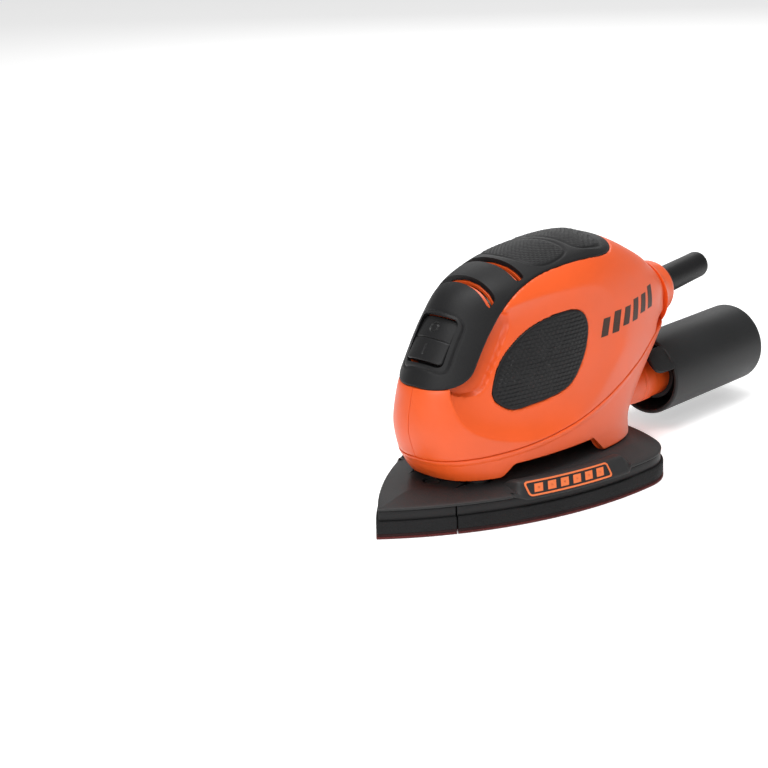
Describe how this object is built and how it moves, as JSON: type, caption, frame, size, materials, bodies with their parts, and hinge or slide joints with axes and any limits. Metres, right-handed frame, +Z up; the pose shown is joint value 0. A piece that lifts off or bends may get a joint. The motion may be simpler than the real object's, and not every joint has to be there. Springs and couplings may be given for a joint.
{
  "type": "detail sander",
  "caption": "Hand-held detail sander with a pointed orbiting base, soft top grip, rocker switch, cord guard and dust outlet tube.",
  "frame": {"origin": "middle of the base's length where its middle plane meets the work surface, at the underside of the abrasive sheet", "axes": "+Z up, away from the work surface; +X to the rear, along the cord and the dust outlet; the pointed tip is at -X; -Y is the machine's left side"},
  "size_m": [0.234, 0.095, 0.1],
  "materials": {
    "orange_shell": "satin moulded nylon with fine grain",
    "black_grip": "matt soft grip",
    "guard_rubber": "matt",
    "leg_rubber": "matt",
    "dark_plastic": "satin",
    "pale_plastic": "satin",
    "base_plastic": "satin with fine grain",
    "adapter_plastic": "satin",
    "rocker_plastic": "semi-gloss",
    "badge": "satin",
    "screw_steel": "zinc plated",
    "bearing_steel": "ground",
    "ball_steel": "polished",
    "motor_steel": "drawn",
    "magnet": "matt",
    "carbon": "matt",
    "contact_brass": "bright",
    "copper": "enamelled",
    "board": "satin",
    "capacitor": "gloss",
    "lead_brown": "satin",
    "lead_blue": "satin",
    "lead_red": "satin",
    "foam": "open-cell foam",
    "hooks": "hook and loop",
    "abrasive": "coated grit"
  },
  "bodies": {
    "housing": {"housing_left": "orange_shell", "housing_right": "orange_shell", "lower_shroud": "orange_shell", "top_grip": "black_grip", "side_grip_left": "black_grip", "side_grip_right": "black_grip", "housing_screws": "screw_steel", "shroud_screws": "screw_steel", "flex_leg_front_left": "leg_rubber", "flex_leg_front_right": "leg_rubber", "flex_leg_rear_left": "leg_rubber", "flex_leg_rear_right": "leg_rubber", "cord_guard": "guard_rubber", "cord_clamp": "dark_plastic", "cord_clamp_screws": "screw_steel", "dust_spigot": "orange_shell", "switch_module": "dark_plastic", "switch_terminals": "contact_brass", "motor_can": "motor_steel", "motor_magnets": "magnet", "motor_mount_rings": "leg_rubber", "motor_end_cap": "pale_plastic", "upper_bush": "contact_brass", "brush_holders": "contact_brass", "carbon_brushes": "carbon", "brush_springs": "screw_steel", "lower_bearing_outer": "bearing_steel", "lower_bearing_balls": "ball_steel", "rectifier_board": "board", "bridge_rectifier": "dark_plastic", "suppression_capacitor": "capacitor", "live_lead": "lead_brown", "neutral_lead": "lead_blue", "motor_leads": "lead_red"},
    "rotor": {"rotor_shaft": "bearing_steel", "rotor_core": "magnet", "rotor_windings": "copper", "commutator": "copper", "cooling_fan": "pale_plastic", "eccentric_counterweight": "bearing_steel", "lower_bearing_inner": "bearing_steel", "drive_bearing_inner": "bearing_steel", "pin_washer": "screw_steel", "pin_screw": "screw_steel"},
    "base": {"base_cover": "base_plastic", "badge_inlays": "badge", "base_plate": "base_plastic", "tip_plate": "base_plastic", "tip_screw": "screw_steel", "cover_screws": "screw_steel", "drive_bearing_outer": "bearing_steel", "drive_bearing_balls": "ball_steel", "foam_pad": "foam", "foam_tip": "foam", "hook_sheet": "hooks", "hook_tip": "hooks", "sanding_sheet": "abrasive", "sanding_tip": "abrasive"},
    "rocker": {"switch_rocker": "rocker_plastic"},
    "dust_adapter": {"dust_adapter": "adapter_plastic"}
  },
  "joints": [
    {"name": "rotor_spin", "type": "hinge", "parent": "housing", "child": "rotor", "pos_m": [0.008, 0, 0.05], "axis": [0, 0, 1], "continuous": true},
    {"name": "base_orbit", "type": "hinge", "parent": "rotor", "child": "base", "pos_m": [0.0089, 0, 0.0125], "axis": [0, 0, 1], "continuous": true},
    {"name": "rocker_tip", "type": "hinge", "parent": "housing", "child": "rocker", "pos_m": [-0.03256, 0, 0.06774], "axis": [0, 1, 0], "range_deg": [-10, 0]},
    {"name": "adapter_pull", "type": "slide", "parent": "housing", "child": "dust_adapter", "axis": [1, 0, 0], "range_m": [0, 0.018]}
  ],
  "couplings": [
    {"joint": "base_orbit", "follows": "rotor_spin", "ratio": -1}
  ]
}
